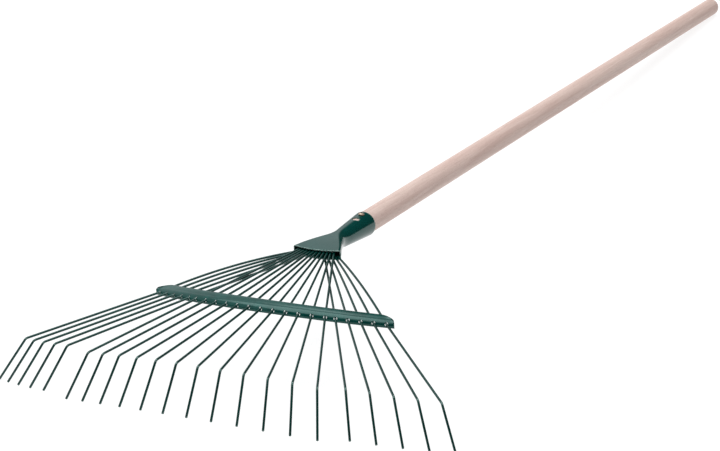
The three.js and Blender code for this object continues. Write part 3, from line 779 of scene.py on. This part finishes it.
bands = wood_streaks(9, 260, 3, 0.35, 0.68)
fibres = wood_streaks(1.1, 45, 4, 0.3, 0.72)
flecks = wood_streaks(0.45, 3.2, 1, 0.62, 0.72)
pale = node(wood, "ShaderNodeMix", {"data_type": "RGBA"}, {
    0: bands, 6: (0.59, 0.425, 0.375, 1), 7: (0.71, 0.565, 0.505, 1)}).outputs[2]
fibred = node(wood, "ShaderNodeMix", {"data_type": "RGBA"}, {
    0: math_node(wood, "MULTIPLY", fibres, 0.45), 6: pale, 7: (0.48, 0.33, 0.28, 1)}).outputs[2]
flecked = node(wood, "ShaderNodeMix", {"data_type": "RGBA"}, {
    0: math_node(wood, "MULTIPLY", flecks, 0.55), 6: fibred, 7: (0.33, 0.17, 0.11, 1)}).outputs[2]
grain_bump = node(wood, "ShaderNodeBump", sockets={
    "Strength": 0.6, "Distance": 0.0002, "Height": math_node(
        wood, "SUBTRACT", math_node(wood, "MULTIPLY", fibres, 0.5), flecks)}).outputs[0]
wood_shader = wood.nodes["Principled BSDF"]
wood.links.new(flecked, wood_shader.inputs["Base Color"])
wood.links.new(grain_bump, wood_shader.inputs["Normal"])
wood.links.new(node(wood, "ShaderNodeMapRange", sockets={
    "Value": fibres, "To Min": 0.5, "To Max": 0.68}).outputs[0], wood_shader.inputs["Roughness"])
handle.data.materials.append(beech)
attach(handle, "root")
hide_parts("handle")


# ---- Handle screw
# A pan-head steel screw with a driver's cross, yellow zinc plated and tarnished. It goes through the hole
# nearer the head's rim into the wood and keeps the handle from pulling out.
screw_place = shaft_place @ Matrix.Translation((0, HEAD_LENGTH - screw_back, 0)) @ Matrix.Rotation(
    screw_turn, 4, "Y") @ Matrix.Rotation(math.radians(90), 4, "X")
SCREW_HEAD = 3.3
SCREW_CORE = 1.25
SCREW_NECK = 1.7
HEAD_RIM = 0.7
HEAD_HEIGHT = 2.1
pan = [(0, SCREW_TIP), (0.12, SCREW_TIP), (SCREW_CORE, SCREW_TIP + 3), (SCREW_CORE, SCREW_SEAT - 1.2),
       (SCREW_NECK, SCREW_SEAT - 0.5), (SCREW_NECK, SCREW_SEAT), (SCREW_HEAD - 0.15, SCREW_SEAT),
       (SCREW_HEAD, SCREW_SEAT + 0.15)]
for i in range(10):
    turn = math.radians(90 * i / 10)
    pan.append((
        SCREW_HEAD * math.cos(turn), SCREW_SEAT + HEAD_RIM + (HEAD_HEIGHT - HEAD_RIM) * math.sin(turn)))
pan.append((0, SCREW_SEAT + HEAD_HEIGHT))
cross_bars = []
for wide, deep in ((3.6, 0.9), (0.9, 3.6)):
    rings = []
    for share, height in ((0.45, SCREW_SEAT + 0.75), (1, SCREW_SEAT + 3)):
        rings.append([Vector((x * wide / 2 * share, height, z * deep / 2 * share))
                      for x, z in ((-1, -1), (-1, 1), (1, 1), (1, -1))])
    cross_bars.append(plain_mesh("cross_bar", *skin(rings), screw_place))
screw_body = cut_away("screw_body", turned("screw_blank", pan, 48, screw_place), *cross_bars)


def thread_tree():
    """Winds a wedge-shaped ridge round the core as a helix and joins it to the screw's body."""
    tree, given, result = new_tree("screw thread", [
        ("Geometry", "NodeSocketGeometry", None), ("Turns", "NodeSocketFloat", 5.0),
        ("Core Diameter", "NodeSocketFloat", 0.0025), ("Pitch", "NodeSocketFloat", 0.0014),
        ("Ridge", "NodeSocketFloat", 0.0009), ("Start", "NodeSocketVector", None),
        ("Lean", "NodeSocketRotation", None), ("Plating", "NodeSocketMaterial", None),
    ], [("Geometry", "NodeSocketGeometry")])
    core = math_node(tree, "MULTIPLY", given["Core Diameter"], 0.5)
    helix = node(tree, "GeometryNodeCurveSpiral", sockets={
        "Resolution": 32, "Rotations": given["Turns"], "Start Radius": core, "End Radius": core,
        "Height": math_node(tree, "MULTIPLY", given["Turns"], given["Pitch"])}).outputs[0]
    wedge = node(tree, "GeometryNodeCurvePrimitiveCircle", sockets={
        "Resolution": 4, "Radius": math_node(tree, "MULTIPLY", given["Ridge"], 0.5)}).outputs[0]
    ridge = node(tree, "GeometryNodeCurveToMesh", sockets={
        "Curve": helix, "Profile Curve": wedge, "Fill Caps": True}).outputs[0]
    stood = node(tree, "GeometryNodeTransform", sockets={
        "Geometry": ridge, "Translation": given["Start"], "Rotation": given["Lean"]}).outputs[0]
    joined = node(tree, "GeometryNodeJoinGeometry", sockets={
        "Geometry": [given["Geometry"], stood]}).outputs[0]
    whole = node(tree, "GeometryNodeRealizeInstances", sockets={"Geometry": joined}).outputs[0]
    plated = node(tree, "GeometryNodeSetMaterial", sockets={
        "Geometry": whole, "Material": given["Plating"]}).outputs[0]
    tree.links.new(plated, result["Geometry"])
    return tree


zinc = bpy.data.materials.new("yellow_zinc")
zinc.use_nodes = True
plating = zinc.node_tree
screw_spot = node(plating, "ShaderNodeTexCoord").outputs["Object"]
tarnish = node(plating, "ShaderNodeTexNoise", sockets={
    "Vector": screw_spot, "Scale": 700, "Detail": 5, "Roughness": 0.65}).outputs["Fac"]
stained = node(plating, "ShaderNodeMapRange", sockets={
    "Value": tarnish, "From Min": 0.42, "From Max": 0.66}).outputs[0]
zinc_shader = plating.nodes["Principled BSDF"]
zinc_colour = node(plating, "ShaderNodeMix", {"data_type": "RGBA"}, {
    0: stained, 6: (0.50, 0.43, 0.34, 1), 7: (0.22, 0.085, 0.05, 1)}).outputs[2]
plating.links.new(zinc_colour, zinc_shader.inputs["Base Color"])
plating.links.new(math_node(plating, "SUBTRACT", 1, math_node(plating, "MULTIPLY", stained, 0.4)),
                  zinc_shader.inputs["Metallic"])
plating.links.new(node(plating, "ShaderNodeMapRange", sockets={
    "Value": tarnish, "To Min": 0.22, "To Max": 0.5}).outputs[0], zinc_shader.inputs["Roughness"])
plating.links.new(node(plating, "ShaderNodeBump", sockets={
    "Strength": 0.4, "Distance": 0.00005, "Height": tarnish}).outputs[0], zinc_shader.inputs["Normal"])
thread_start = screw_place @ Matrix.Rotation(math.radians(-90), 4, "X")
screw = grow(
    thread_tree(), "plated_screw", screw_body.data, Start=screw_place @ Vector((0, SCREW_TIP + 2.6, 0)),
    Lean=thread_start.to_euler(), Plating=zinc)
bpy.data.objects.remove(screw_body)
smooth(screw, 35)
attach(screw, "root")
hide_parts("handle_screw")


# ---- Floor
# A plain pale sheet with a faint tooth, wide enough to fill the view behind the rake. It glows a little,
# like a lit table, so that the thin wires leave hardly any shadow on it.
floor_size = 40
floor_mesh = bpy.data.meshes.new("floor")
floor_corners = [(x * floor_size, y * floor_size, 0) for x, y in ((-1, -1), (1, -1), (1, 1), (-1, 1))]
floor_mesh.from_pydata(floor_corners, [], [(0, 1, 2, 3)])
floor = bpy.data.objects.new("floor", floor_mesh)
bpy.context.scene.collection.objects.link(floor)
paper = bpy.data.materials.new("floor_paper")
paper.use_nodes = True
sheet_tree = paper.node_tree
tooth = node(sheet_tree, "ShaderNodeTexNoise", sockets={
    "Vector": node(sheet_tree, "ShaderNodeTexCoord").outputs["Object"], "Scale": 60,
    "Detail": 3}).outputs["Fac"]
greys = node(sheet_tree, "ShaderNodeMix", {"data_type": "RGBA"}, {
    0: tooth, 6: (0.19, 0.19, 0.19, 1), 7: (0.21, 0.21, 0.21, 1)}).outputs[2]
paper_shader = sheet_tree.nodes["Principled BSDF"]
sheet_tree.links.new(greys, paper_shader.inputs["Base Color"])
paper_shader.inputs["Roughness"].default_value = 0.9
paper_shader.inputs["Specular IOR Level"].default_value = 0.1
paper_shader.inputs["Emission Color"].default_value = (1, 1, 1, 1)
paper_shader.inputs["Emission Strength"].default_value = 0.83
floor.data.materials.append(paper)


# ---- Light
# A white studio: a wide soft panel and a pale ceiling over the rake, and a pale wall on its left that
# darkens towards the floor, which the flat faces mirror. The other walls are dark, and show as the dark
# band along the tube's side.
light = bpy.data.lights.new("over_panel", "AREA")
light.shape, light.size, light.size_y, light.energy = "RECTANGLE", 6, 6, 190
lamp = bpy.data.objects.new("over_panel", light)
bpy.context.scene.collection.objects.link(lamp)
lamp.location = (-0.8, -0.6, 5.5)
lamp.rotation_euler = (-Vector(lamp.location)).to_track_quat("-Z", "Y").to_euler()
studio = bpy.data.worlds.new("studio")
studio.use_nodes = True
bpy.context.scene.world = studio
sky = studio.node_tree
facing = node(sky, "ShaderNodeSeparateXYZ", sockets={
    0: node(sky, "ShaderNodeTexCoord").outputs["Generated"]}).outputs
left_wall = node(sky, "ShaderNodeMapRange", {"interpolation_type": "SMOOTHSTEP"}, {
    "Value": facing["X"], "From Min": -0.18, "From Max": -0.4, "To Min": 0.03, "To Max": 0.8}).outputs[0]
ceiling = node(sky, "ShaderNodeMapRange", {"interpolation_type": "SMOOTHSTEP"}, {
    "Value": facing["Z"], "From Min": 0.62, "From Max": 0.9, "To Min": 0.03, "To Max": 1.9}).outputs[0]
wall_foot = node(sky, "ShaderNodeMapRange", {"interpolation_type": "SMOOTHSTEP"}, {
    "Value": facing["Z"], "From Min": 0.0, "From Max": 0.34, "To Min": 0.3, "To Max": 1.0}).outputs[0]
walls = math_node(sky, "MULTIPLY", left_wall, wall_foot)
sky.links.new(math_node(sky, "MAXIMUM", walls, ceiling), sky.nodes["Background"].inputs["Strength"])
sky.nodes["Background"].inputs["Color"].default_value = (0.96, 0.98, 1.0, 1)


# ---- Camera
# A long lens a little above the rake, in front of it and to its right.
view = bpy.data.cameras.new("view")
view.lens, view.sensor_width = 120, 36
view.clip_end = 200
camera = bpy.data.objects.new("camera", view)
bpy.context.scene.collection.objects.link(camera)
azimuth, elevation, roll = math.radians(25.190), math.radians(19.377), math.radians(1.698)
forward = Vector((-math.sin(azimuth) * math.cos(elevation), math.cos(azimuth) * math.cos(elevation),
                  -math.sin(elevation)))
level_right = forward.cross(Vector((0, 0, 1))).normalized()
right = Matrix.Rotation(roll, 3, forward) @ level_right
up = right.cross(forward)
camera.matrix_world = Matrix((
    (right.x, up.x, -forward.x, 1.0406), (right.y, up.y, -forward.y, -2.6552),
    (right.z, up.z, -forward.z, 0.9442), (0, 0, 0, 1)))
bpy.context.scene.camera = camera
bpy.context.scene.view_settings.view_transform = "Standard"
